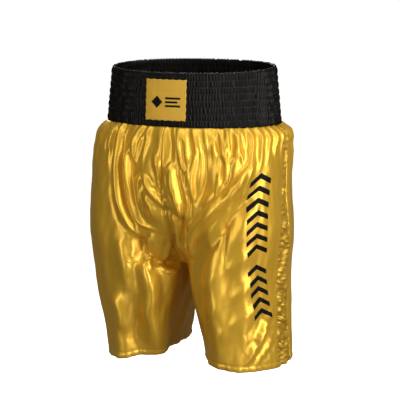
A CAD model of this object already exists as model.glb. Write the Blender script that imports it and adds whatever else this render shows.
"""Looks of the boxing shorts: draped gold satin legs gathered into a black shirred waistband.

Metres, in the CAD frame: +Z up, the origin is the centre of the waist opening at its top rim, the
wearer faces -Y and the wearer's left leg is at +X. "Drop" is the distance below the top rim.
"""

import math

import bpy
import numpy as np
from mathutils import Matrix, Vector

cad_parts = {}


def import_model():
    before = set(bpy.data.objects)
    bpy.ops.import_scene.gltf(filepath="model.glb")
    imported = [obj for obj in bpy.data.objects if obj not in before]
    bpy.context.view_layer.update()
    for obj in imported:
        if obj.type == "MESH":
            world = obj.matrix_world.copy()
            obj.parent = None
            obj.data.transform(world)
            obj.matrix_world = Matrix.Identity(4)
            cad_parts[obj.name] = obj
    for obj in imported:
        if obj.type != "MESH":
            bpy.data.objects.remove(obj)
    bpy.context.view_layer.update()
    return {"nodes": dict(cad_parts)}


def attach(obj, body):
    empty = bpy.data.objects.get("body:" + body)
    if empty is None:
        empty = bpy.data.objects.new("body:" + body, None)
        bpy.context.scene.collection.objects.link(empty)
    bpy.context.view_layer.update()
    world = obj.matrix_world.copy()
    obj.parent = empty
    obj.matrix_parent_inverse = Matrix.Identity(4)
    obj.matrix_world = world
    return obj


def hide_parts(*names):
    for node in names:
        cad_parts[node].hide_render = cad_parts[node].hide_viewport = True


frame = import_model()

MM = 0.001

# ---- Dimensions shared with the CAD model

BAND_HEIGHT = 0.098
BACK_RISE = 0.010  # how much higher the rim is at the back than at the front
CROTCH_DROP = 0.360
LENGTH = 0.556
HEM_LIFT = 0.016
LEG_PART = 0.040
BAND_SQUARENESS = 2.2
TORSO_SQUARENESS = 2.5
RISE_SQUARENESS = 3.0
SQUARENESS_BLEND = 0.080
RIM = (0.158, 0.116)  # reach of the band to the side and to the front or back, at the rim
SEAM = (0.168, 0.123)  # the same at the waist seam
BAND_THICKNESS = 4.4 * MM
CHANNELS = 8
CHANNEL_TOP = 2 * MM
CHANNEL_PITCH = 11.9375 * MM
PATCH_WIDTH = 0.081
PATCH_HEIGHT = 0.074
PATCH_DROP = 0.012
STRIPE_HALF_TOP = 0.011
STRIPE_HALF_HEM = 0.030
HEM_BAND_HEIGHT = 0.014
CHEVRON_PLACES = 13
CHEVRON_EMPTY = 5
CHEVRON_PITCH = 0.0215
CHEVRON_STROKE = 0.0095
CHEVRON_RISE = 0.013
CHEVRON_HALF_WIDTH = 0.024
CHEVRON_LOWEST = 0.455

CLOTH = 0.35 * MM  # thickness
CLOTH_LENGTH = LENGTH - BAND_HEIGHT  # from the waist seam down to the hem
CROTCH_AT = (CROTCH_DROP - BAND_HEIGHT) / CLOTH_LENGTH  # the crotch, as a share of that
RIGHT, LEFT = 0, 1  # the two halves of the cloth, as worn


def lerp(a, b, f):
    return a + (b - a) * f


def smoothstep(x):
    x = np.clip(x, 0, 1)
    return x * x * (3 - 2 * x)


def unit(v):
    return v / np.maximum(np.linalg.norm(v, axis=-1, keepdims=True), 1e-12)


def run_along(path):
    """The length along a path up to each of its points."""
    return np.concatenate([[0], np.cumsum(np.linalg.norm(np.diff(path, axis=0), axis=1))])


def catmull(f):
    """The weights of four neighbouring points at a share f of the way from the second to the third."""
    return (
        0.5 * (-f + 2 * f**2 - f**3),
        0.5 * (2 - 5 * f**2 + 3 * f**3),
        0.5 * (f + 4 * f**2 - 3 * f**3),
        0.5 * (-(f**2) + f**3),
    )


def spline(points, step):
    """A Catmull-Rom curve through the points, with a sample about every step."""
    p = np.array([points[0], *points, points[-1]], float)
    out = []
    for near in zip(p, p[1:], p[2:], p[3:]):
        count = max(1, round(np.linalg.norm(near[2] - near[1]) / step))
        for f in np.arange(count) / count:
            out.append(sum(weight * point for weight, point in zip(catmull(f), near)))
    out.append(p[-1])
    return np.array(out)


# ---- The CAD surface


def profile(stations):
    """A smooth curve through (drop, reach) stations, as a function of the drop."""
    curve = spline(stations, 0.5 * MM)
    return lambda drop: np.interp(drop, curve[:, 0], curve[:, 1])


side_reach = profile(
    [(BAND_HEIGHT, SEAM[0]), (0.112, 0.178), (0.135, 0.187), (0.175, 0.192), (0.250, 0.194),
     (CROTCH_DROP, 0.191), (0.460, 0.184), (LENGTH, 0.176)]
)
front_reach = profile(
    [(BAND_HEIGHT, SEAM[1]), (0.115, 0.131), (0.165, 0.141), (0.250, 0.144),
     (CROTCH_DROP, 0.130), (LENGTH, 0.100)]
)
back_reach = profile(
    [(BAND_HEIGHT, SEAM[1]), (0.115, 0.129), (0.165, 0.133), (0.250, 0.136),
     (CROTCH_DROP, 0.136), (LENGTH, 0.131)]
)


def outline(angle, drop, side, depth, squareness):
    """A point of a rounded outline round the body, at an angle from the front."""
    power = 2 / squareness
    x = side * np.sign(np.sin(angle)) * np.abs(np.sin(angle)) ** power
    y = -depth * np.sign(np.cos(angle)) * np.abs(np.cos(angle)) ** power
    return np.stack(np.broadcast_arrays(x, y, -drop), -1)


def torso_point(angle, drop):
    depth = np.where(np.cos(angle) > 0, front_reach(drop), back_reach(drop))
    blend = np.clip((drop - BAND_HEIGHT) / SQUARENESS_BLEND, 0, 1)
    squareness = lerp(BAND_SQUARENESS, TORSO_SQUARENESS, blend)
    return outline(angle, drop, side_reach(drop), depth, squareness)


def leg_point(s, drop):
    inner = LEG_PART * np.clip((drop - CROTCH_DROP) / (LENGTH - CROTCH_DROP), 0, 1)
    side, front, back = side_reach(drop), front_reach(drop), back_reach(drop)
    angle = 2 * np.pi * s
    x = (side + inner) / 2 - (side - inner) / 2 * np.cos(angle)
    y = (back - front) / 2 - (back + front) / 2 * np.sin(angle)
    return np.stack(np.broadcast_arrays(x, y, -drop), -1)


def rise_curve():
    """Shares of the drop made and of the reach left, for each share of the rise seam's length."""
    drop, reach, power = CROTCH_DROP - BAND_HEIGHT, front_reach(CROTCH_DROP), 2 / RISE_SQUARENESS
    angle = np.linspace(0, np.pi / 2, 201)
    down, left = np.sin(angle) ** power, np.abs(np.cos(angle)) ** power
    left[-1] = 0
    length = np.concatenate([[0], np.cumsum(np.hypot(np.diff(down) * drop, np.diff(left) * reach))])
    length /= length[-1]
    return lambda share: (np.interp(share, length, down), np.interp(share, length, left))


rise = rise_curve()


def cloth_point(s, t):
    """A point of the left half: s from the front centre or inseam (0) round the side (0.5) to the
    back centre or inseam (1), and t from the waist seam (0) to the hem (1)."""
    s, t = np.broadcast_arrays(np.asarray(s, float), np.asarray(t, float))
    share = np.clip(t / CROTCH_AT, 0, 1)
    down, left = rise(share)
    at_centre = np.cos(np.pi * s) ** 2
    drop = lerp(BAND_HEIGHT, CROTCH_DROP, lerp(share, down, at_centre))
    towards_leg = lerp(smoothstep(share), 1 - left, at_centre**3)[..., None]
    torso = lerp(torso_point(np.pi * s, drop), leg_point(s, drop), towards_leg)
    below = np.clip((t - CROTCH_AT) / (1 - CROTCH_AT), 0, 1)
    leg = leg_point(s, lerp(CROTCH_DROP, LENGTH, below))
    inward = (side_reach(LENGTH) - leg[..., 0]) / (side_reach(LENGTH) - LEG_PART)
    leg[..., 2] += below * HEM_LIFT * inward
    return np.where((t >= CROTCH_AT)[..., None], leg, torso)


def across(s, t):
    """Metres of cloth per unit of s."""
    h = 5e-4
    return np.linalg.norm(cloth_point(s + h, t) - cloth_point(s - h, t), axis=-1) / (2 * h)


def at_drop(drop):
    """t at a drop."""
    return (drop - BAND_HEIGHT) / CLOTH_LENGTH


# ---- The drape grid

COLS = 96
TORSO_ROWS = 44
LEG_ROWS = 32
RIPPLE_WAVES = 14
ROW_T = np.concatenate(
    [np.linspace(0, CROTCH_AT, TORSO_ROWS + 1), np.linspace(CROTCH_AT, 1, LEG_ROWS + 1)[1:]]
)


class Drape:
    """Both halves of the cloth as one welded grid, which can be sampled smoothly anywhere."""

    def __init__(self):
        s, t = np.meshgrid(np.linspace(0, 1, COLS + 1), ROW_T)
        left = cloth_point(s, t)
        halves = np.stack([left * (-1, 1, 1), left])
        self.shape = halves.shape[:3]
        flat = halves.reshape(-1, 3)
        _, first, self.weld = np.unique(
            np.round(flat * 1e6).astype(int), axis=0, return_index=True, return_inverse=True
        )
        self.weld = self.weld.ravel()
        self.points = flat[first]
        self.t = np.tile(t.ravel(), 2)[first]
        self.s = np.tile(s.ravel(), 2)[first]
        index = self.weld.reshape(self.shape)
        a, b, c, d = index[:, :-1, :-1], index[:, 1:, :-1], index[:, 1:, 1:], index[:, :-1, 1:]
        left_faces = np.stack([a[1], b[1], c[1], d[1]], -1).reshape(-1, 4)
        right_faces = np.stack([d[0], c[0], b[0], a[0]], -1).reshape(-1, 4)
        self.faces = np.concatenate([left_faces, right_faces])
        self.update(self.points)

    def update(self, points):
        self.points = points
        p = points[self.faces]
        face_normal = np.cross(p[:, 2] - p[:, 0], p[:, 3] - p[:, 1])
        normals = np.zeros_like(points)
        for k in range(4):
            np.add.at(normals, self.faces[:, k], face_normal)
        self.normals = unit(normals)
        both = np.concatenate([self.points, self.normals], -1)
        self.grid = self._padded(both[self.weld].reshape(*self.shape, 6))

    def smoothed(self, values, weight, rounds):
        """Values at the points drawn towards their neighbours' mean, each by its own weight."""
        ends = np.concatenate([self.faces, np.roll(self.faces, 1, 1)], 0).ravel()
        others = np.concatenate([np.roll(self.faces, -1, 1), self.faces], 0).ravel()
        size = len(values)
        count = np.bincount(ends, minlength=size)[:, None]
        for _ in range(rounds):
            total = np.stack([np.bincount(ends, values[others, k], size) for k in range(3)], -1)
            values = values + weight[:, None] * (total / count - values)
        return values

    def _padded(self, grid):
        """One ghost column at each side and one ghost row at each end."""
        other = grid[::-1]
        is_leg = (ROW_T > CROTCH_AT - 1e-9)[None, :, None, None]
        before = np.where(is_leg, grid[:, :, -2:-1], other[:, :, 1:2])
        after = np.where(is_leg, grid[:, :, 1:2], other[:, :, -2:-1])
        grid = np.concatenate([before, grid, after], 2)
        top = 2 * grid[:, :1] - grid[:, 1:2]
        bottom = 2 * grid[:, -1:] - grid[:, -2:-1]
        return np.concatenate([top, grid, bottom], 1)

    def sample(self, half, s, t):
        """Points and outward normals at s and t of a half (0 right, 1 left)."""
        half, s, t = np.broadcast_arrays(half, s, t)
        row = np.interp(t, ROW_T, np.arange(len(ROW_T)))
        col = np.clip(s, 0, 1) * COLS
        r0 = np.minimum(row.astype(int), len(ROW_T) - 2)
        c0 = np.minimum(col.astype(int), COLS - 1)
        weights_r = catmull(row - r0)
        weights_c = catmull(col - c0)
        out = 0
        for i in range(4):
            for j in range(4):
                out = out + self.grid[half, r0 + i, c0 + j] * (weights_r[i] * weights_c[j])[..., None]
        return out[..., :3], unit(out[..., 3:])


def ripple(points, wavelength, seed, stretch):
    """A smooth random field of spread 1. stretch below 1 lengthens the waves along that axis."""
    rng = np.random.default_rng(seed)
    way = unit(rng.normal(size=(RIPPLE_WAVES, 3)))
    k = way * rng.uniform(0.6, 1.4, (RIPPLE_WAVES, 1)) * (2 * np.pi / wavelength)
    phase = rng.uniform(0, 2 * np.pi, RIPPLE_WAVES)
    return np.sin((points * stretch) @ k.T + phase).sum(-1) * math.sqrt(2 / RIPPLE_WAVES)


# ---- Folds

# Each fold is its half width and height in mm and the points (x, drop) in mm that its crest runs
# through on the front. A negative height is a valley. x is negative on the wearer's right.
FRONT_FOLDS = [
    # The wearer's right: long ridges from the waistband that bend in towards the crotch.
    (7, 10, [(-91, 102), (-95, 150), (-95, 215), (-88, 250), (-72, 290), (-45, 312)]),
    (6, -6, [(-86, 104), (-84, 180), (-82, 215), (-72, 256), (-50, 284)]),
    (5, 8, [(-77, 124), (-74, 200), (-70, 235), (-56, 272), (-30, 288), (-8, 296)]),
    (10, 9, [(-57, 322), (-50, 360), (-38, 412), (-50, 450), (-50, 475), (-42, 500)]),
    (5, 5, [(-45, 100), (-60, 122), (-60, 145), (-52, 172)]),
    (4, 3.5, [(-32, 102), (-48, 130), (-49, 160)]),
    (6, 5, [(-107, 98), (-118, 125), (-114, 153)]),
    (5, 7, [(-38, 180), (-47, 205), (-47, 262)]),
    (5, 7, [(-38, 180), (-27, 206), (-10, 228), (24, 256)]),
    (9, 7, [(-36, 206), (-26, 235), (-10, 276)]),
    (4, 5, [(-14, 141), (-5, 180), (0, 210), (14, 246)]),
    (14, 5, [(-119, 418), (-100, 452), (-93, 504)]),
    (17, 7, [(-98, 306), (-82, 370), (-82, 438), (-93, 508)]),
    (20, 9, [(-42, 360), (-42, 420), (-44, 480), (-50, 545)]),
    # A lobe of cloth that hangs just in front of the crotch, with creased edges.
    (9, 5, [(-26, 292), (-30, 322), (-28, 360)]),
    (4.5, 5, [(-30, 292), (-42, 326), (-38, 352), (-26, 364), (-12, 342), (14, 284)]),
    (8, -7, [(-60, 300), (-54, 330), (-58, 362)]),
    # The centre: a hanging tongue of cloth with creased edges.
    (9, 13, [(26, 156), (21, 190), (28, 227), (38, 270)]),
    (4, 6, [(25, 156), (11, 178), (9, 200), (19, 232), (30, 266)]),
    (4, 5, [(32, 162), (42, 190), (47, 215), (50, 252)]),
    (5, 6, [(28, 102), (36, 145), (50, 182), (59, 190)]),
    (4, 4, [(33, 102), (47, 135), (58, 174)]),
    (7, 10, [(17, 246), (24, 290), (28, 336)]),
    (6, -8, [(4, 226), (12, 262), (16, 306), (24, 346)]),
    (4, 5, [(36, 236), (31, 292)]),
    (4, 5, [(50, 226), (40, 298)]),
    (6, -7, [(44, 256), (34, 296), (38, 326)]),
    (10, -10, [(14, 300), (6, 335), (-2, 372)]),
    # The wearer's left: gathers, and a heavy diagonal from the hip to the crotch.
    (4.5, 5, [(68, 132), (60, 180), (58, 215), (63, 240)]),
    (13, -8, [(86, 122), (86, 160), (80, 205), (66, 244)]),
    (4, 4, [(55, 102), (63, 123), (70, 150)]),
    (4, -4, [(89, 102), (102, 126), (112, 160), (115, 208)]),
    (6, 4, [(114, 104), (118, 150), (122, 200)]),
    (4, 3, [(136, 126), (130, 148), (122, 164)]),
    (6, 5, [(132, 101), (138, 136), (149, 166)]),
    (16, 13, [(168, 148), (144, 190), (118, 222), (94, 248), (65, 282), (44, 312), (40, 350)]),
    (7, 12, [(162, 158), (144, 196), (120, 226), (96, 250), (65, 283), (46, 314), (42, 352)]),
    (12, -6, [(172, 206), (142, 246), (120, 280), (94, 314), (76, 348), (68, 388)]),
    (5, 4, [(120, 212), (92, 242), (74, 262)]),
    (4, -2, [(117, 264), (118, 308), (117, 352)]),
    (14, 3, [(168, 316), (132, 348), (93, 374), (60, 408)]),
    (14, 3, [(172, 372), (134, 404), (100, 432), (72, 470)]),
    (12, 3, [(172, 424), (140, 448), (104, 480), (84, 508)]),
    (10, 6, [(180, 452), (170, 481), (162, 506)]),
    (7, 6, [(186, 421), (178, 470), (164, 506), (139, 548)]),
    (5, 4, [(184, 474), (178, 510), (160, 546)]),
]

# The same on the back.
BACK_FOLDS = [
    (10, 10, [(-156, 140), (-120, 205), (-85, 262), (-45, 306), (-12, 334)]),
    (10, 10, [(158, 150), (125, 222), (80, 280), (40, 318), (10, 342)]),
    (6, 7, [(-110, 102), (-104, 160), (-92, 215), (-60, 268)]),
    (6, 7, [(96, 102), (100, 165), (84, 225), (48, 278)]),
    (5, 6, [(-62, 102), (-66, 150), (-54, 200), (-28, 248)]),
    (5, 6, [(48, 102), (60, 145), (52, 195), (22, 254)]),
    (5, 5, [(-24, 102), (-30, 150), (-18, 214)]),
    (5, 5, [(14, 102), (24, 160), (14, 222)]),
    (14, 7, [(-134, 310), (-118, 390), (-108, 450), (-112, 536)]),
    (14, 7, [(120, 322), (110, 400), (122, 470), (116, 540)]),
    (10, 6, [(-70, 340), (-62, 410), (-70, 470), (-58, 536)]),
    (10, 6, [(72, 336), (60, 412), (68, 474), (60, 540)]),
    (9, 5, [(-166, 380), (-136, 424), (-92, 450)]),
    (9, 5, [(168, 370), (134, 414), (86, 446)]),
    (7, -6, [(-88, 300), (-60, 330), (-44, 380)]),
    (7, -6, [(84, 312), (58, 340), (46, 390)]),
]

COARSE_WIDTH = 9  # mm: folds at least this wide are in the cloth before it is draped
TIED_ABOVE = 106  # mm: a fold that starts above this drop runs out of the waist seam
TAPER_START, TAPER_END = 0.22, 0.32  # shares of a fold's length over which its ends taper
FOLD_STEP = 4  # mm between the points of a fold's line
FOLD_REACH = 4  # half widths from the crest to where a fold ends
FOLD_SLOPE = 1.6  # how steeply a fold falls from its crest
CREST_ROUND = 0.6  # how rounded the top of a fold is
FLANK_AT = 2.3  # half widths from the crest to the middle of the hollow beside it
FOLD_FLANK, GATHER_FLANK = 0.22, 0.15  # depth of that hollow, by the crest's height
SEEN_WITHIN = 0.012  # how far round a point of a line the nearest layer of cloth is looked for
HIDDEN_BEHIND = 0.015  # cloth this far behind the nearest layer isn't the one that is folded


def on_cloth(drape, x, drop, facing):
    """The points of the draped cloth at x and drop, on the front (facing -1) or the back (1)."""
    seen = drape.normals[:, 1] * facing > 0.05
    points = drape.points[seen]
    gap = np.hypot(points[None, :, 0] - x[:, None], points[None, :, 2] + drop[:, None])
    depth = np.where(gap < SEEN_WITHIN, points[None, :, 1] * facing, -1).max(1)
    hidden = points[None, :, 1] * facing < depth[:, None] - HIDDEN_BEHIND
    gap = np.where(hidden, gap + 1, gap)
    near = np.argsort(gap, axis=1)[:, :4]
    weight = 1 / (np.take_along_axis(gap, near, 1) + 1e-4)
    y = (points[near, 1] * weight).sum(1) / weight.sum(1)
    return np.stack([x, y, -drop], -1)


def traced_folds(drape, coarse):
    """The listed folds: a 3-D line on the cloth, half width, height and the tapers at its ends."""
    found = []
    for facing, table in ((-1, FRONT_FOLDS), (1, BACK_FOLDS)):
        for width, height, points in table:
            if (width >= COARSE_WIDTH) == coarse:
                line = spline(np.array(points) * MM, FOLD_STEP * MM)
                line = on_cloth(drape, line[:, 0], line[:, 1], facing)
                length = np.linalg.norm(np.diff(line, axis=0), axis=1).sum()
                start = 0 if points[0][1] < TIED_ABOVE else TAPER_START * length
                found.append((line, width * MM, height * MM, start, TAPER_END * length))
    return found


def line_distance(points, line):
    """Distance from each point to a polyline, and the length along it at the nearest place."""
    a, b = line[:-1], line[1:]
    ab = b - a
    size = (ab * ab).sum(-1) + 1e-12
    f = np.clip(((points[:, None] - a) * ab).sum(-1) / size, 0, 1)
    gap = points[:, None] - (a + f[..., None] * ab)
    distance = np.sqrt((gap * gap).sum(-1))
    k = distance.argmin(1)
    i = np.arange(len(points))
    start = np.concatenate([[0], np.cumsum(np.sqrt(size))])
    return distance[i, k], start[k] + f[i, k] * np.sqrt(size[k]), start[-1]


def fold_height(points, folds, flank):
    """How far folds lift the cloth: a narrow crest, a hollow on each flank and pointed ends."""
    flat = points.reshape(-1, 3)
    total = np.zeros(len(flat))
    for line, width, height, taper_start, taper_end in folds:
        reach = FOLD_REACH * width
        inside = np.all((flat > line.min(0) - reach) & (flat < line.max(0) + reach), axis=1)
        if not inside.any():
            continue
        distance, along, length = line_distance(flat[inside], line)
        ends = 1.0
        if taper_start:
            ends = ends * smoothstep(along / taper_start)
        if taper_end:
            ends = ends * smoothstep((length - along) / taper_end)
        reached = distance / (width * lerp(0.55, 1, ends))
        crest = np.exp(CREST_ROUND - np.sqrt(CREST_ROUND**2 + (FOLD_SLOPE * reached) ** 2))
        crest = crest - flank * np.exp(-((reached - FLANK_AT) ** 2))
        total[inside] += height * ends * crest * smoothstep((FOLD_REACH - reached) / 1.5)
    return total.reshape(points.shape[:-1])


def soft_limit(height, limit):
    return limit * np.tanh(height / limit)


GATHER_SEED = 7
GATHER_LENGTH = (0.035, 0.085)
GATHER_LEAN = (-0.010, 0.010)  # in s, over its length
GATHER_WIDTH = (2.8, 6.2)  # mm
GATHER_STEEPNESS = (0.75, 1.15)  # height by width
GATHER_GAP = (0.022, 0.042)  # in s
GATHER_TAPER = 0.7  # the share of a gather's length over which it runs out


def gathers(drape):
    """Short pleats that run down from the waist seam, close together and of uneven length."""
    rng = np.random.default_rng(GATHER_SEED)
    found = []
    for half in (RIGHT, LEFT):
        s = rng.uniform(0.004, 0.012)
        while s < 0.995:
            length = rng.uniform(*GATHER_LENGTH) * (1 + 0.8 * (rng.random() < 0.3))
            t = np.linspace(0.0, length / CLOTH_LENGTH, 12)
            lean = rng.uniform(*GATHER_LEAN) * (t / t[-1]) ** 1.5
            sway = lean + 0.002 * np.sin(rng.uniform(0, 6) + 9 * t / t[-1])
            line, _ = drape.sample(half, np.clip(s + sway, 0, 1), t)
            width = rng.uniform(*GATHER_WIDTH) * MM
            height = width * rng.uniform(*GATHER_STEEPNESS)
            found.append((line, width, height, 0, GATHER_TAPER * length))
            s += rng.uniform(*GATHER_GAP)
    return found


# ---- Cloth simulation

SIM_FRAMES = 30
SIM_LIMIT = 0.010  # the furthest that the cloth moves
SIM_FULLNESS = 1.04  # how much wider than the body the cloth is cut
HOLD_SEAM, HOLD_CLOTH = 1.0, 0.3  # how firmly the cloth is held at the waist seam and below it
AT_SEAM = 1e-6  # t up to which a point is on the waist seam


def simulate(drape):
    """How the cloth moves when it hangs from the waist seam, cut a little fuller than the body."""
    mesh = bpy.data.meshes.new("drape")
    mesh.from_pydata(drape.points.tolist(), [], drape.faces.tolist())
    cloth = bpy.data.objects.new("drape", mesh)
    bpy.context.scene.collection.objects.link(cloth)
    # The rest shape is wider than the body all round, so the spare width hangs in long folds.
    cloth.shape_key_add(name="Basis")
    rest = cloth.shape_key_add(name="rest")
    rest.data.foreach_set("co", (drape.points * (SIM_FULLNESS, SIM_FULLNESS, 1)).ravel())
    group = cloth.vertex_groups.new(name="held")
    hold = np.where(drape.t < AT_SEAM, HOLD_SEAM, HOLD_CLOTH)
    for i, weight in enumerate(hold):
        group.add([i], float(weight), "REPLACE")
    modifier = cloth.modifiers.new("cloth", "CLOTH")
    settings = modifier.settings
    settings.quality = 5
    settings.mass = 0.001
    settings.tension_stiffness = settings.compression_stiffness = 40
    settings.shear_stiffness = 15
    settings.bending_stiffness = 6
    settings.rest_shape_key = rest
    settings.tension_damping = settings.compression_damping = settings.shear_damping = 5
    settings.air_damping = 2
    settings.vertex_group_mass = "held"
    settings.pin_stiffness = 1
    modifier.collision_settings.use_self_collision = False
    modifier.point_cache.frame_start = 1
    modifier.point_cache.frame_end = SIM_FRAMES
    scene = bpy.context.scene
    for step in range(1, SIM_FRAMES + 1):
        scene.frame_set(step)
    evaluated = cloth.evaluated_get(bpy.context.evaluated_depsgraph_get())
    points = np.zeros(len(drape.points) * 3)
    evaluated.data.vertices.foreach_get("co", points)
    bpy.data.objects.remove(cloth)
    bpy.data.meshes.remove(mesh)
    scene.frame_set(1)
    moved = points.reshape(-1, 3) - drape.points
    far = np.linalg.norm(moved, axis=1, keepdims=True)
    return moved * (soft_limit(far, SIM_LIMIT) / np.maximum(far, 1e-9))


# ---- The draped cloth

# The two sides don't hang quite alike: (half, t at the middle, spread in t, metres outwards).
SIDE_SWELLS = [
    (RIGHT, 0.04, 0.03, 0.005),
    (RIGHT, 0.50, 0.14, 0.009),
    (LEFT, 0.035, 0.03, 0.010),
    (LEFT, 0.27, 0.17, -0.007),
    (LEFT, 0.62, 0.16, -0.006),
    (LEFT, 1.00, 0.12, 0.006),
    (RIGHT, 0.72, 0.10, 0.005),
    (RIGHT, 1.00, 0.05, -0.005),
]
CROTCH_SPREAD = 0.13  # how far from the crotch the cloth is smoothed, in t
INNER_REACH = (0.026, 0.020)  # how far the right leg's front reaches in, at the crotch and hem
REACH_AT, REACH_SPREAD = -0.035, 0.040  # the x that reaches furthest, and how far that spreads
CROTCH_SAG = 0.006  # how much lower the cloth hangs in front of the crotch
SAG_SPREAD = (0.045, 0.030)  # across and down
SAG_ABOVE = 0.015  # how far above the crotch it hangs lowest
FOLD_GAIN = 1.2  # on the heights of the listed folds
COARSE_LIMIT = 0.016  # the highest that the wide folds rise
SWAY = (1.2, 2.6)  # mm: the spread of the cloth's broad unevenness, at the waist and on the legs
SWAY_LENGTH = 0.060


def swell_sides(drape):
    outer = np.sin(np.pi * drape.s) ** 4
    for half, middle, spread, out in SIDE_SWELLS:
        swell = np.exp(-(((drape.t - middle) / spread) ** 2)) * outer * out
        mine = (drape.points[:, 0] > 0) == (half == LEFT)
        drape.points[:, 0] += np.where(mine, swell, 0) * np.sign(drape.points[:, 0])


def shape_crotch(drape):
    """In front of the crotch the cloth hangs lower, and the right leg's front reaches inwards."""
    x, y, z = drape.points.T.copy()
    front = smoothstep((-0.010 - y) / 0.060)
    down_leg = (drape.t - CROTCH_AT) / (1 - CROTCH_AT)
    reach = lerp(*INNER_REACH, smoothstep(down_leg)) * smoothstep((down_leg + 0.10) / 0.14)
    inner = np.exp(-(((REACH_AT - x) / REACH_SPREAD) ** 2)) * smoothstep(-x / 0.010)
    x += front * reach * inner
    above = z + CROTCH_DROP - SAG_ABOVE
    sag = np.exp(-((x / SAG_SPREAD[0]) ** 2) - ((above / SAG_SPREAD[1]) ** 2))
    z -= CROTCH_SAG * smoothstep(-y / 0.040) * sag
    drape.update(np.stack([x, y, z], -1))


def lay_wide_folds(drape):
    height = fold_height(drape.points, traced_folds(drape, True), FOLD_FLANK)
    lift = soft_limit(FOLD_GAIN * height, COARSE_LIMIT)
    sway = lerp(*SWAY, smoothstep((drape.t - 0.25) / 0.45)) * smoothstep(drape.t / 0.1)
    lift += sway * MM * ripple(drape.points, SWAY_LENGTH, 3, (1, 1, 0.24))
    drape.update(drape.points + lift[:, None] * drape.normals)


def draped_cloth():
    drape = Drape()
    # The cloth bridges the corners between the legs.
    near_crotch = np.exp(-(((drape.t - CROTCH_AT) / CROTCH_SPREAD) ** 2))
    drape.update(drape.smoothed(drape.points, 0.6 * near_crotch, 60))
    swell_sides(drape)
    shape_crotch(drape)
    drape.update(drape.smoothed(drape.points, 0.5 * near_crotch, 8))
    lay_wide_folds(drape)
    moved = drape.smoothed(simulate(drape), np.where(drape.t < AT_SEAM, 0.0, 0.5), 4)
    drape.update(drape.points + moved)
    return drape


# ---- Fine cloth surface

FINE_LIMIT = 0.011  # the highest that the narrow folds and gathers rise
PUCKER_REACH = 5 * MM  # how far from a side seam its puckers reach
RUFFLE_EDGE = 7 * MM  # how far inside the side insert its ruffles are at full height
HEM_REACH = 13 * MM

drape = draped_cloth()
fine_folds = traced_folds(drape, False)
gather_folds = gathers(drape)


def stripe_half(t):
    """Half the side insert's width, in s."""
    return lerp(STRIPE_HALF_TOP, STRIPE_HALF_HEM, t) / across(0.5, t)


def front_edge(t):
    """The s of a panel's edge at t. This one and the three below follow each other round a leg."""
    return 0 * t


def front_seam(t):
    return 0.5 - stripe_half(t)


def back_seam(t):
    return 0.5 + stripe_half(t)


def back_edge(t):
    return 0 * t + 1


def surface(half, s, t):
    """Points of the finished cloth and the normals that its small folds were raised along."""
    half, s, t = np.broadcast_arrays(half, np.asarray(s, float), np.asarray(t, float))
    points, normals = drape.sample(half, s, t)
    lift = FOLD_GAIN * fold_height(points, fine_folds, FOLD_FLANK)
    lift += fold_height(points, gather_folds, GATHER_FLANK)
    lift = soft_limit(lift, FINE_LIMIT) * lerp(0.45, 1, smoothstep(t / 0.03))
    lift += 0.25 * MM * ripple(points, 0.018, 5, (1, 1, 0.5)) * smoothstep(t / 0.1)
    # Side seams pull the cloth in, with small puckers beside them.
    for seam in (front_seam(t), back_seam(t)):
        near = np.exp(-(((s - seam) * across(0.5, t) / PUCKER_REACH) ** 2))
        lift += near * (-0.7 * MM + 0.45 * MM * ripple(points, 0.011, 11, (0.3, 0.3, 1.2)))
    # The side insert is ruffled, and more so towards the hem.
    inside = smoothstep((stripe_half(t) - np.abs(s - 0.5)) * across(0.5, t) / RUFFLE_EDGE)
    ruffle = 1.6 * ripple(points, 0.026, 21, (0.8, 0.8, 1.0))
    ruffle += 0.8 * ripple(points, 0.012, 22, (0.6, 0.6, 1.2))
    lift += inside * lerp(0.5, 1.7, smoothstep(t)) * ruffle * MM
    # The hem has a scalloped edge, swells where it is turned up and dips along its stitching.
    to_hem = (1 - t) * CLOTH_LENGTH
    at_hem = np.exp(-((to_hem / HEM_REACH) ** 2))
    lift += at_hem * 0.6 * MM * ripple(points, 0.017, 31, (1.2, 1.2, 0.3))
    lift += 1.0 * MM * np.exp(-(((to_hem - 6 * MM) / (4 * MM)) ** 2))
    lift -= 0.7 * MM * np.exp(-(((to_hem - 12 * MM) / (1.6 * MM)) ** 2))
    return points + lift[..., None] * normals, normals


# ---- Mesh building


def grid_normals(points, flip, closed):
    down = np.gradient(points, axis=0)
    if closed:
        along = np.roll(points, -1, 1) - np.roll(points, 1, 1)
    else:
        along = np.gradient(points, axis=1)
    normals = unit(np.cross(down, along))
    return -normals if flip else normals


def new_object(name, verts, faces, material, smooth=None, uv=None):
    mesh = bpy.data.meshes.new(name)
    mesh.from_pydata(verts.tolist(), [], faces.tolist())
    flags = np.ones(len(mesh.polygons), bool) if smooth is None else smooth
    mesh.polygons.foreach_set("use_smooth", flags)
    if uv is not None:
        layer = mesh.uv_layers.new(name="cloth")
        index = np.zeros(len(mesh.loops), int)
        mesh.loops.foreach_get("vertex_index", index)
        layer.data.foreach_set("uv", uv[index].astype(np.float32).ravel())
    mesh.materials.append(material)
    mesh.update()
    made = bpy.data.objects.new(name + "_sewn", mesh)
    bpy.context.scene.collection.objects.link(made)
    return made


def new_piece(name, verts, faces, finish, smooth=None, uv=None):
    """An object that rides on the one body and stands for the CAD node of the same name."""
    piece = new_object(name, verts, faces, finish.material, smooth, uv)
    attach(piece, "root")
    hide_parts(name)
    return piece


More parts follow.
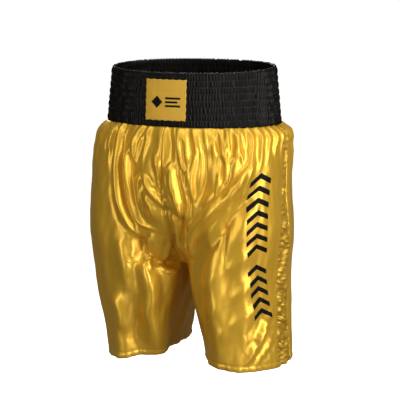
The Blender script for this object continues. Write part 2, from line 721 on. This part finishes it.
def sheet_piece(
    name, points, finish, uv, thickness=CLOTH, flip=False, closed=False, lift=0.0, normals=None
):
    """A closed thin body whose outer face is the grid of points. Rows run down, columns across."""
    rows, cols = points.shape[:2]
    if normals is None:
        normals = grid_normals(points, flip, closed)
    outer = points + lift * normals
    inner = outer - thickness * normals
    verts = np.concatenate([outer.reshape(-1, 3), inner.reshape(-1, 3)])
    index = np.arange(rows * cols).reshape(rows, cols)
    if closed:
        index = np.concatenate([index, index[:, :1]], 1)
    a, b, c, d = index[:-1, :-1], index[1:, :-1], index[1:, 1:], index[:-1, 1:]
    face = np.stack([a, b, c, d], -1).reshape(-1, 4)
    if flip:
        face = face[:, ::-1]
    other = face[:, ::-1] + rows * cols
    edges = [index[0, ::-1], index[-1]]
    if not closed:
        edges += [index[:, 0], index[::-1, -1]]
    rim = []
    for edge in edges:
        if flip:
            edge = edge[::-1]
        p, q = edge[:-1], edge[1:]
        rim.append(np.stack([q, p, p + rows * cols, q + rows * cols], -1))
    faces = np.concatenate([face, other, *rim])
    smooth = np.arange(len(faces)) < 2 * len(face)
    uv = uv.reshape(-1, 2)
    return new_piece(name, verts, faces, finish, smooth, np.concatenate([uv, uv]))


# A stitch is a row of rings: where they are along it, how far they rise and how thick they are.
STITCH_ALONG = np.array([0, 0.2, 0.5, 0.8, 1.0])
STITCH_RISE = np.array([-0.9, 0.1, 0.5, 0.1, -0.9])
STITCH_THICK = np.array([0.35, 0.95, 1.1, 0.95, 0.35])
STITCH_SIDES = 6


def stitch_faces():
    sides, rings = STITCH_SIDES, len(STITCH_ALONG)
    faces = []
    for j in range(rings - 1):
        for i in range(sides):
            k = (i + 1) % sides
            faces.append([j * sides + i, (j + 1) * sides + i, (j + 1) * sides + k, j * sides + k])
    for first, turn in ((0, 1), ((rings - 1) * sides, -1)):
        a, b, c, d, e, f = [first + i for i in range(sides)][::turn]
        faces += [[a, b, c, d], [a, d, e, f]]
    return np.array(faces)


def stitches(name, path, normals, finish, size, closed=False):
    """A row of separate raised stitches along a path: size is their length, gap and radius in mm."""
    length, gap, radius = (value * MM for value in size)
    if closed:
        path = np.concatenate([path, path[:1]])
        normals = np.concatenate([normals, normals[:1]])
    run = run_along(path)
    count = max(1, int(run[-1] / (length + gap)))
    start = (np.arange(count) + 0.5) * run[-1] / count - length / 2
    at = start[:, None] + STITCH_ALONG * length
    centre = np.stack([np.interp(at, run, path[:, k]) for k in range(3)], -1)
    normal = unit(np.stack([np.interp(at, run, normals[:, k]) for k in range(3)], -1))
    forward = unit(centre[:, -1:] - centre[:, :1]) + 0 * centre
    side = unit(np.cross(forward, normal))
    angle = np.arange(STITCH_SIDES) * 2 * np.pi / STITCH_SIDES
    out, over = np.cos(angle)[:, None], np.sin(angle)[:, None]
    ring = out * normal[:, :, None] + over * side[:, :, None]
    middle = centre + STITCH_RISE[:, None] * radius * normal
    verts = middle[:, :, None] + STITCH_THICK[:, None, None] * radius * ring
    first = np.arange(count) * STITCH_SIDES * len(STITCH_ALONG)
    faces = first[:, None, None] + stitch_faces()
    new_piece(name, verts.reshape(-1, 3), faces.reshape(-1, 4)[:, ::-1], finish)


# ---- Materials

WEAVE_DEPTH = 0.2 * MM


class Finish:
    """A procedural material for a slot, built from nodes that feed its one shader."""

    def __init__(self, name, slot=None):
        self.slot = slot or name
        self.material = bpy.data.materials.new(name)
        self.material.use_nodes = True
        self.tree = self.material.node_tree
        self.shader = self.tree.nodes["Principled BSDF"]

    def feed(self, node, values):
        """Set a node's inputs, each from another node's output or to a constant."""
        for key, value in values.items():
            if isinstance(value, bpy.types.NodeSocket):
                self.tree.links.new(value, node.inputs[key])
            else:
                node.inputs[key].default_value = value

    def add(self, kind, values, **settings):
        node = self.tree.nodes.new("ShaderNode" + kind)
        for key, value in settings.items():
            setattr(node, key, value)
        self.feed(node, values)
        return node

    def shade(self, values):
        self.feed(self.shader, values)

    def place(self):
        return self.add("TexCoord", {}).outputs["Object"]

    def cloth(self, scale=(1, 1, 1)):
        """Metres of cloth across and down, scaled."""
        uv = self.add("TexCoord", {}).outputs["UV"]
        return self.add("Mapping", {"Vector": uv, "Scale": scale}).outputs["Vector"]

    def noise(self, vector, scale, detail):
        values = {"Vector": vector, "Scale": scale, "Detail": detail}
        return self.add("TexNoise", values).outputs["Fac"]

    def wave(self, vector, scale, direction, distortion=0.5):
        values = {"Vector": vector, "Scale": scale, "Distortion": distortion, "Detail": 1}
        return self.add("TexWave", values, bands_direction=direction).outputs["Fac"]

    def maths(self, operation, *values):
        return self.add("Math", dict(enumerate(values)), operation=operation).outputs[0]

    def ramp(self, value, dark_at, dark, light_at, light):
        node = self.add("ValToRGB", {"Fac": value})
        stops = ((dark_at, dark), (light_at, light))
        for element, (place, colour) in zip(node.color_ramp.elements, stops):
            element.position = place
            element.color = (*colour, 1)
        return node.outputs["Color"]

    def bump(self, height, strength, depth=WEAVE_DEPTH):
        values = {"Height": height, "Strength": strength, "Distance": depth}
        self.shade({"Normal": self.add("Bump", values).outputs["Normal"]})


GOLD_DARK, GOLD_LIGHT = (0.65, 0.372, 0.027), (0.77, 0.455, 0.042)


def gold_satin(name, metallic, least_rough, shade, grain=0.25):
    """Streaked along the warp, with highlights drawn out across the grain (in turns)."""
    satin = Finish(name, "gold_satin")
    cloth = satin.cloth()
    streaks = satin.maths("MULTIPLY", satin.noise(satin.cloth((90, 6, 1)), 1.0, 4), 0.55)
    patches = satin.maths("MULTIPLY", satin.noise(cloth, 9.0, 2), 0.45)
    tone = satin.maths("ADD", streaks, patches)
    dark, light = (tuple(shade * c for c in colour) for colour in (GOLD_DARK, GOLD_LIGHT))
    tangent = satin.add("Tangent", {}, direction_type="UV_MAP", uv_map="cloth")
    satin.shade({
        "Base Color": satin.ramp(tone, 0.25, dark, 0.75, light),
        "Roughness": satin.maths("MULTIPLY_ADD", tone, 0.08, least_rough),
        "Metallic": metallic,
        "Anisotropic": 0.5,
        "Anisotropic Rotation": grain,
        "Specular IOR Level": 0.5,
        "Tangent": tangent.outputs["Tangent"],
    })
    weft = satin.maths("MULTIPLY", satin.wave(cloth, 260, "Y"), 0.4)
    weave = satin.maths("ADD", satin.wave(cloth, 420, "X"), weft)
    slubs = satin.maths("MULTIPLY", satin.noise(cloth, 260, 2), 1.2)
    satin.bump(satin.maths("ADD", weave, slubs), 0.12)
    return satin


def black_satin():
    satin = Finish("black_satin")
    cloth = satin.cloth()
    tone = satin.noise(cloth, 60, 4)
    dark, light = (0.0022, 0.0018, 0.0015), (0.0050, 0.0042, 0.0036)
    satin.shade({
        "Base Color": satin.ramp(tone, 0.3, dark, 0.75, light),
        "Roughness": satin.maths("MULTIPLY_ADD", tone, 0.15, 0.30),
        "Specular IOR Level": 0.11,
    })
    weave = satin.maths("ADD", satin.wave(cloth, 420, "X"), satin.wave(cloth, 300, "Y"))
    satin.bump(weave, 0.15)
    return satin


def thread(name, dark, light, roughness):
    twisted = Finish(name)
    place = twisted.place()
    twisted.shade({
        "Base Color": twisted.ramp(twisted.noise(place, 700, 2), 0.3, dark, 0.7, light),
        "Roughness": roughness,
        "Sheen Weight": 0.3,
    })
    twisted.bump(twisted.wave(place, 900, "DIAGONAL", 0), 0.4)
    return twisted


def black_film():
    film = Finish("black_film")
    place = film.place()
    tone = film.noise(place, 90, 4)
    film.shade({
        "Base Color": film.ramp(tone, 0.3, (0.002, 0.002, 0.002), 0.8, (0.005, 0.0045, 0.0045)),
        "Roughness": film.maths("MULTIPLY_ADD", tone, 0.2, 0.5),
        "Specular IOR Level": 0.1,
    })
    film.bump(film.noise(place, 900, 3), 0.15)
    return film


def knitted_elastic():
    elastic = Finish("knitted_elastic")
    ribs = elastic.wave(elastic.place(), 260, "Z", 1.0)
    elastic.shade({
        "Base Color": elastic.ramp(ribs, 0.2, (0.50, 0.48, 0.44), 0.8, (0.72, 0.70, 0.66)),
        "Roughness": 0.85,
    })
    elastic.bump(ribs, 0.5, 0.5 * MM)
    return elastic


GOLD = gold_satin("gold_satin", 0.52, 0.36, 1.0)
# The side inserts are cut across the grain, so they shine less from the front.
INSERT_GOLD = gold_satin("insert_gold", 0.52, 0.36, 0.72, 0.0)
PATCH_GOLD = gold_satin("patch_gold", 0.15, 0.62, 0.85)
BLACK = black_satin()
GOLD_THREAD = thread("gold_thread", (0.30, 0.17, 0.020), (0.52, 0.31, 0.05), 0.55)
BLACK_THREAD = thread("black_thread", (0.006, 0.005, 0.005), (0.020, 0.017, 0.015), 0.6)
FILM = black_film()
ELASTIC = knitted_elastic()

# ---- Leg panels, stripes, hems and seams

HALVES = ((RIGHT, "right"), (LEFT, "left"))
TOP = at_drop(BAND_HEIGHT + 0.3 * MM)  # where the panels start, just under the band
FINE_TORSO_ROWS, FINE_LEG_ROWS = 132, 83
LONG_ROWS = np.concatenate(
    [np.linspace(TOP, CROTCH_AT, FINE_TORSO_ROWS), np.linspace(CROTCH_AT, 1, FINE_LEG_ROWS + 1)[1:]]
)

# Flat cuts: the panels were cut wide and gathered to the waistband.
PANEL_FLAT = (0.30, 0.54)
PANEL_AREA = 0.145
STRIPE_FLAT = (0.06, 0.47)
STRIPE_AREA = 0.019
CASING_FLAT = (1.15, 0.20)
CUT_WIDTH = 0.53  # metres of cloth round one leg, for the weave

HEM_DEPTH = 0.9 * MM  # how far inside the cloth the turned-up hem lies
HEM_STITCH_INSET = 2 * MM  # how far below the hem band's upper edge it is stitched
HEM_STITCH = (2.4, 1.0, 0.25)  # mm: length, gap and radius
RING_COLS = 240  # round one leg
ALLOWANCE_DEPTH = 1.5 * MM  # how far inside the cloth the seam allowances lie
ALLOWANCE_ACROSS = np.linspace(-3.5, 3.5, 7)[None] * MM
ALLOWANCE_TOP = 0.108
ALLOWANCE_LOW = LENGTH - HEM_BAND_HEIGHT - 1 * MM
WAIST_SEAM = (0.0985, 0.107)  # drops of its two edges
BESIDE_CENTRE = 0.05  # the s at which the cloth beside a centre seam is measured


def cloth_uv(s, t):
    """Metres of cloth across and down."""
    return np.stack(np.broadcast_arrays(s * CUT_WIDTH, t * CLOTH_LENGTH), -1)


# Name, the edges it lies between, columns of points, finish, flat size and cut area.
PANELS = (
    ("front_panel", front_edge, front_seam, 141, GOLD, PANEL_FLAT, PANEL_AREA),
    ("side_stripe", front_seam, back_seam, 33, INSERT_GOLD, STRIPE_FLAT, STRIPE_AREA),
    ("back_panel", back_seam, back_edge, 101, GOLD, PANEL_FLAT, PANEL_AREA),
)


def leg_panels(half, side):
    """The front panel, the side insert and the back panel of a leg."""
    t = LONG_ROWS[:, None]
    for label, start, end, cols, finish, flat, area in PANELS:
        name = f"{label}_{side}"
        s = lerp(start(t), end(t), np.linspace(0, 1, cols)[None])
        points, normals = surface(half, s, t)
        uv = cloth_uv(s, t)
        panel = sheet_piece(name, points, finish, uv, flip=half == RIGHT, normals=normals)


def inner_strip(name, half, s, t, uv, finish, thickness, depth, flip, closed=False):
    """A strip of cloth that lies a depth inside the outer cloth."""
    points, normals = surface(half, s, t)
    return sheet_piece(name, points, finish, uv, thickness, flip, closed, -depth, normals)


def hem_band(half, side):
    """The turned-up hem inside the leg opening."""
    s = np.linspace(0, 1, RING_COLS + 1)[None, :-1]
    t = np.linspace(at_drop(LENGTH - HEM_BAND_HEIGHT), 1, 7)[:, None]
    name, uv = f"hem_band_{side}", cloth_uv(s, t)
    band = inner_strip(name, half, s, t, uv, GOLD, CLOTH, HEM_DEPTH, half == RIGHT, True)


def hem_stitching(half, side):
    s = np.linspace(0, 1, 600)[:-1]
    path, normals = surface(half, s, at_drop(LENGTH - HEM_BAND_HEIGHT + HEM_STITCH_INSET))
    stitches(f"hem_stitch_{side}", path, normals, GOLD_THREAD, HEM_STITCH, closed=True)


def allowance(name, half, s, t, uv, flip, closed=False):
    """An overlocked seam allowance on the inside of the cloth."""
    inner_strip(name, half, s, t, uv, GOLD_THREAD, 2 * CLOTH, ALLOWANCE_DEPTH, flip, closed)


def leg_seams(half, side):
    t = np.linspace(at_drop(ALLOWANCE_TOP), at_drop(ALLOWANCE_LOW), 120)[:, None]
    for label, seam in (("front", front_seam), ("back", back_seam)):
        s = seam(t) + ALLOWANCE_ACROSS / across(0.5, t)
        allowance(f"side_seam_{label}_{side}", half, s, t, cloth_uv(s, t), half == RIGHT)
    t = np.linspace(CROTCH_AT + 0.02, at_drop(ALLOWANCE_LOW), 60)[:, None]
    offset = ALLOWANCE_ACROSS / across(BESIDE_CENTRE, t)
    s = np.where(offset < 0, 1 + offset, offset)
    allowance(f"inseam_{side}", half, s, t, cloth_uv(offset, t), half == RIGHT)


def rise_seam(name, end):
    """The centre seam from the waist towards the crotch, in front (end 0) or behind (end 1)."""
    t = np.linspace(at_drop(ALLOWANCE_TOP), 0.8 * CROTCH_AT, 90)[:, None]
    offset = ALLOWANCE_ACROSS / across(BESIDE_CENTRE, t)
    half = np.where(offset < 0, RIGHT, LEFT)
    allowance(name, half, np.abs(end - np.abs(offset)), t, cloth_uv(offset, t), end == 1)


def waist_seam():
    """The overlocked ring inside, where the panels are sewn to the waistband."""
    half = np.repeat([LEFT, RIGHT], RING_COLS)[None]
    to_back, to_front = np.linspace(0, 1, RING_COLS + 1)[:-1], np.linspace(1, 0, RING_COLS + 1)[:-1]
    s = np.concatenate([to_back, to_front])[None]
    t = np.linspace(*map(at_drop, WAIST_SEAM), 5)[:, None]
    turn = np.arange(2 * RING_COLS)[None] / (2 * RING_COLS)
    allowance("waist_seam", half, s, t, cloth_uv(turn, t), False, True)


# ---- Leg print

CHEVRON_LINE = (0.352, 0.428)  # the s of the print's middle, at the waist seam and at the hem
FILM_THICKNESS = 0.25 * MM
FILM_LIFT = 0.45 * MM


def chevron(name, low):
    u = np.linspace(-1, 1, 33)[:, None]
    up = np.linspace(CHEVRON_STROKE, 0, 7)[None]
    t = at_drop(low - up - CHEVRON_RISE * (1 - np.abs(u)))
    centre = lerp(*CHEVRON_LINE, t)
    s = centre + u * CHEVRON_HALF_WIDTH / across(centre, t)
    points, _ = surface(LEFT, s, t)
    points, uv = points.swapaxes(0, 1), cloth_uv(s, t).swapaxes(0, 1)
    sheet_piece(name, points, FILM, uv, FILM_THICKNESS, lift=FILM_LIFT)


def leg_print():
    places = [i for i in range(CHEVRON_PLACES) if i != CHEVRON_EMPTY]
    for number, place in enumerate(places, 1):
        chevron(f"leg_chevron_{number}", CHEVRON_LOWEST - place * CHEVRON_PITCH)


# ---- Waistband

AROUND = 900  # points round the band
ROW_STEPS, INNER_STEPS = 7, 4  # rows of points in each channel, outside and inside
PUCKER_PITCH = 5.6 * MM
PUCKER_HEIGHT = 1.3 * MM
CHANNEL_ARCH = 0.75 * MM
FRILL_PITCH = 6.5 * MM
FRILL_HEIGHT = 0.5 * MM
RIM_RISE = 2.6 * MM  # how far the fold at the rim rises above the first channel
INNER_RELIEF = 0.7  # the inside's relief as a share of the outside's
CHANNEL_STITCH = (2.0, 0.9, 0.25)  # mm: length, gap and radius
STITCH_PROUD = 0.15 * MM


def band_lift(share, drop):
    """How far the band is lifted at a share of its depth, from -1 at the front to 1 at the back."""
    return BACK_RISE * (1 - drop / BAND_HEIGHT) * (1 + share) / 2


def band_point(angle, drop, out):
    f = np.clip(drop / BAND_HEIGHT, 0, 1.1)
    side = lerp(RIM[0], SEAM[0], f) + out
    depth = lerp(RIM[1], SEAM[1], f) + out
    points = outline(angle, drop, side, depth, BAND_SQUARENESS)
    points[..., 2] += band_lift(points[..., 1] / depth, drop)
    return points


def even_angles(count):
    """Angles that part the band's outline into equal lengths, and the length of the outline."""
    angle = np.linspace(0, 2 * np.pi, 4001)
    run = run_along(band_point(angle, BAND_HEIGHT / 2, 0))
    return np.interp(np.arange(count) / count * run[-1], run, angle), run[-1]


BAND_ANGLES, BAND_LENGTH = even_angles(AROUND)


def pucker(turn, row, spacing):
    """Crests about a spacing apart round the band (turn 0 to 1), different in every row."""
    rng = np.random.default_rng(500 + row)
    count = round(BAND_LENGTH / (spacing * rng.uniform(0.92, 1.08)))
    wander = 0
    for k in range(1, 14):
        size = rng.normal() * 1.5 / math.sqrt(k)
        wander = wander + size * np.sin(2 * np.pi * (3 * k * turn + rng.random()))
    strength = 0.75 + 0.25 * np.sin(2 * np.pi * (rng.integers(20, 40) * turn + rng.random()))
    crest = 0.5 + 0.5 * np.cos(2 * np.pi * count * turn + wander)
    return (2 * crest**1.4 - 1) * strength


def band_relief(turn, drop):
    """How far the gathered casing stands out between its rows of stitching."""
    r = (drop - CHANNEL_TOP) / CHANNEL_PITCH
    row = np.clip(np.floor(r), 0, CHANNELS - 1).astype(int)
    arch = np.sin(np.pi * np.clip(r - row, 0, 1))
    out = CHANNEL_ARCH * arch**0.7
    for i in range(CHANNELS):
        crests = (0.3 + 0.7 * arch**0.6) * PUCKER_HEIGHT * pucker(turn, i, PUCKER_PITCH)
        out = out + np.where(row == i, crests, 0)
    return out


def waistband_casing():
    """One strip, folded over at a frilled rim and gathered between its rows of stitching."""
    turn, angle = np.arange(AROUND)[None] / AROUND, BAND_ANGLES[None]
    drop = np.linspace(BAND_HEIGHT, CHANNEL_TOP, CHANNELS * ROW_STEPS + 1)[:, None]
    outer = band_point(angle, drop, band_relief(turn, drop))
    frill = pucker(turn, 40, FRILL_PITCH)
    over = np.linspace(0, np.pi, 7)[1:-1][:, None]
    rim_out = -BAND_THICKNESS / 2 * (1 - np.cos(over)) + FRILL_HEIGHT * frill
    rim_drop = CHANNEL_TOP - RIM_RISE * np.sin(over) * (1 + 0.5 * frill)
    rim = band_point(angle, rim_drop, rim_out)
    drop = np.linspace(CHANNEL_TOP, BAND_HEIGHT, CHANNELS * INNER_STEPS + 1)[:, None]
    inner = band_point(angle, drop, -BAND_THICKNESS - INNER_RELIEF * band_relief(turn, drop))
    points = np.concatenate([outer, rim, inner])
    down = np.linspace(0, CASING_FLAT[1], len(points))[:, None]
    uv = np.stack(np.broadcast_arrays(turn * BAND_LENGTH, down), -1)
    casing = sheet_piece("waistband_casing", points, BLACK, uv, flip=True, closed=True)


def channel_stitches():
    for i in range(1, CHANNELS):
        drop = np.full(AROUND, CHANNEL_TOP + i * CHANNEL_PITCH)
        path = band_point(BAND_ANGLES, drop, STITCH_PROUD)
        normals = unit(band_point(BAND_ANGLES, drop, 1.0) - band_point(BAND_ANGLES, drop, 0.0))
        stitches(f"channel_stitch_{i}", path, normals, BLACK_THREAD, CHANNEL_STITCH, closed=True)


def elastics():
    """The elastics stay as the CAD has them, inside the casing."""
    for i in range(CHANNELS):
        node = frame["nodes"][f"elastic_strip_{i + 1}"]
        node.data.materials.clear()
        node.data.materials.append(ELASTIC.material)


# ---- Patch

PATCH_PROUD = 2.7 * MM
PATCH_THICKNESS = 0.5 * MM
STITCH_EDGE = 0.03  # how far the patch's stitches are from its edge, as a share of its sides
STITCH_ROW_POINTS = 60
PATCH_STITCH = (1.9, 0.8, 0.2)  # mm: length, gap and radius
FORWARD = np.array([0.0, -1.0, 0.0])
MARK_THICKNESS = 0.2 * MM
MARK_PROUD = 0.3 * MM
MARK_MIDDLE = 0.55
LOZENGE_MIDDLE = 17 * MM  # from the patch's middle
LOZENGE_REACH = 11 * MM
BAR_LENGTHS = (30, 24, 30)
BAR_PITCH = 7 * MM
BAR_HALF_WIDTH = 1.8 * MM


def band_face(x, drop, proud):
    """A point of the band's front, given by its x, its drop and how far it stands proud."""
    f = drop / BAND_HEIGHT
    side, depth = lerp(RIM[0], SEAM[0], f) + proud, lerp(RIM[1], SEAM[1], f) + proud
    share = (1 - np.abs(x / side) ** BAND_SQUARENESS) ** (1 / BAND_SQUARENESS)
    return np.stack(np.broadcast_arrays(x, -depth * share, band_lift(-share, drop) - drop), -1)


def patch_relief(x, drop):
    rows = 0.06 * np.sin(2 * np.pi * (drop - CHANNEL_TOP) / CHANNEL_PITCH)
    place = np.stack(np.broadcast_arrays(x, 0 * x, drop), -1)
    return MM * (rows + 0.12 * ripple(place, 0.03, 61, (1, 1, 1)))


def patch_point(u, v, proud):
    """A point of the patch: u and v run from 0 to 1 across and down it. Its edges wave a little."""
    x = (u - 0.5) * PATCH_WIDTH
    drop = PATCH_DROP + v * PATCH_HEIGHT
    x = x + 0.5 * MM * np.sin(2 * np.pi * v * 5.7 + 1) * (2 * u - 1)
    drop = drop + 0.45 * MM * np.sin(2 * np.pi * u * 6.3) * (2 * v - 1)
    return band_face(x, drop, PATCH_PROUD + proud + patch_relief(x, drop))


def front_patch():
    u, v = np.linspace(0, 1, 61)[None], np.linspace(0, 1, 55)[:, None]
    uv = np.stack(np.broadcast_arrays(u * PATCH_WIDTH, v * PATCH_HEIGHT), -1)
    patch = sheet_piece("front_patch", patch_point(u, v, 0), PATCH_GOLD, uv, PATCH_THICKNESS)


def patch_stitches():
    low, high = STITCH_EDGE, 1 - STITCH_EDGE
    corners = {
        "top": ((low, low), (high, low)),
        "bottom": ((low, high), (high, high)),
        "right": ((low, low), (low, high)),
        "left": ((high, low), (high, high)),
    }
    f = np.linspace(0.01, 0.99, STITCH_ROW_POINTS)
    normals = np.tile(FORWARD, (STITCH_ROW_POINTS, 1))
    for side, ((u0, v0), (u1, v1)) in corners.items():
        path = patch_point(lerp(u0, u1, f), lerp(v0, v1, f), 0.1 * MM)
        stitches(f"patch_stitch_{side}", path, normals, GOLD_THREAD, PATCH_STITCH)


def mark(name, u, v):
    """A printed shape on the patch, from a grid of u and v."""
    points = patch_point(u, v, MARK_PROUD)
    sheet_piece(name, points, FILM, np.stack([u, v], -1) * PATCH_WIDTH, MARK_THICKNESS)


def patch_marks():
    f = np.linspace(-1, 1, 21)
    half = (LOZENGE_REACH * (1 - np.abs(f)) + 0.1 * MM) / PATCH_WIDTH
    u = 0.5 - LOZENGE_MIDDLE / PATCH_WIDTH + half[:, None] * f[None]
    v = np.repeat(MARK_MIDDLE + LOZENGE_REACH / PATCH_HEIGHT * f[:, None], len(f), 1)
    mark("patch_mark_lozenge", u, v)
    for i, length in enumerate(BAR_LENGTHS):
        along = 0.5 + np.linspace(0, length * MM / PATCH_WIDTH, 25)
        down = np.linspace(-BAR_HALF_WIDTH, BAR_HALF_WIDTH, 5) + (i - 1) * BAR_PITCH
        mark(f"patch_mark_bar_{i + 1}", *np.meshgrid(along, MARK_MIDDLE + down / PATCH_HEIGHT))


# ---- Studio

AZIMUTH, ELEVATION = 25, 9.5  # degrees: where the camera is, from the front and upwards
DISTANCE = 3.0
SENSOR = 36
LENS = 136.6
AIM_DROP = 0.280
AIM_SHIFT = (0.0115, 0.0153)  # metres to the right and up, as the camera sees them
WHITE = (1, 1, 1)
ROOM = (1, 0.88, 0.66)  # the colour that the cloth reflects where there is no lamp
ROOM_STRENGTH, BACKDROP_STRENGTH = 0.13, 1.05
# Degrees from the front and upwards, distance, width and height in metres, and watts.
SOFTBOXES = {
    "key": (72, 14, 2.2, 1.1, 2.2, 54),
    "front": (-6, 8, 2.4, 0.6, 2.2, 21),
    "top": (20, 70, 2.0, 1.4, 0.7, 16),
    "rim": (215, 30, 2.4, 1.2, 1.2, 30),
}
FLOOR_REACH, FLOOR_LEVEL = 60.0, -1.0


def direction(azimuth, elevation):
    """Outwards from the shorts, at degrees from the front and degrees upwards."""
    a, e = math.radians(azimuth), math.radians(elevation)
    return Vector((math.sin(a) * math.cos(e), -math.cos(a) * math.cos(e), math.sin(e)))


def put(name, data, target, out, distance):
    """Add a camera or a lamp that looks at a target from a distance."""
    made = bpy.data.objects.new(name, data)
    bpy.context.scene.collection.objects.link(made)
    made.location = target + out * distance
    made.rotation_euler = out.to_track_quat("Z", "Y").to_euler()
    return made


def camera():
    data = bpy.data.cameras.new("camera")
    data.sensor_width = SENSOR
    data.lens = LENS
    data.clip_end = 100
    back = direction(AZIMUTH, ELEVATION)
    right = direction(AZIMUTH + 90, 0)
    up = back.cross(right)
    target = Vector((0, 0, -AIM_DROP)) + right * AIM_SHIFT[0] + up * AIM_SHIFT[1]
    bpy.context.scene.camera = put("camera", data, target, back, DISTANCE)


def softbox(name, azimuth, elevation, distance, width, height, power):
    """A rectangular soft light that looks at the middle of the shorts from an angle."""
    data = bpy.data.lights.new(name, "AREA")
    data.shape = "RECTANGLE"
    data.size, data.size_y = width, height
    data.energy = power
    put(name, data, Vector((0, 0, -AIM_DROP)), direction(azimuth, elevation), distance)


def world():
    """A white backdrop for the camera, and a dim warm room for everything else."""
    made = bpy.data.worlds.new("studio")
    made.use_nodes = True
    nodes, links = made.node_tree.nodes, made.node_tree.links
    room, backdrop = nodes["Background"], nodes.new("ShaderNodeBackground")
    room.inputs["Color"].default_value = (*ROOM, 1)
    room.inputs["Strength"].default_value = ROOM_STRENGTH
    backdrop.inputs["Color"].default_value = (*WHITE, 1)
    backdrop.inputs["Strength"].default_value = BACKDROP_STRENGTH
    path = nodes.new("ShaderNodeLightPath")
    mix = nodes.new("ShaderNodeMixShader")
    links.new(path.outputs["Is Camera Ray"], mix.inputs[0])
    links.new(room.outputs[0], mix.inputs[1])
    links.new(backdrop.outputs[0], mix.inputs[2])
    links.new(mix.outputs[0], nodes["World Output"].inputs["Surface"])
    bpy.context.scene.world = made


def floor():
    paint = Finish("floor")
    paint.shade({
        "Base Color": (0.9, 0.9, 0.9, 1),
        "Roughness": 0.9,
        "Emission Color": (*WHITE, 1),
        "Emission Strength": 0.95,
    })
    corners = ((-1, -1), (1, -1), (1, 1), (-1, 1))
    verts = np.array([(x * FLOOR_REACH, y * FLOOR_REACH, FLOOR_LEVEL) for x, y in corners])
    plane = new_object("floor", verts, np.array([[0, 1, 2, 3]]), paint.material)
    plane.visible_diffuse = False
    plane.visible_glossy = False


# ---- The scene

for half, side in HALVES:
    leg_panels(half, side)
    hem_band(half, side)
    hem_stitching(half, side)
    leg_seams(half, side)
rise_seam("rise_seam_front", 0)
rise_seam("rise_seam_back", 1)
waist_seam()
leg_print()
waistband_casing()
channel_stitches()
front_patch()
patch_stitches()
patch_marks()
elastics()

camera()
world()
floor()
for name, settings in SOFTBOXES.items():
    softbox(name, *settings)

view = bpy.context.scene.view_settings
view.view_transform = "Standard"
view.look = "None"
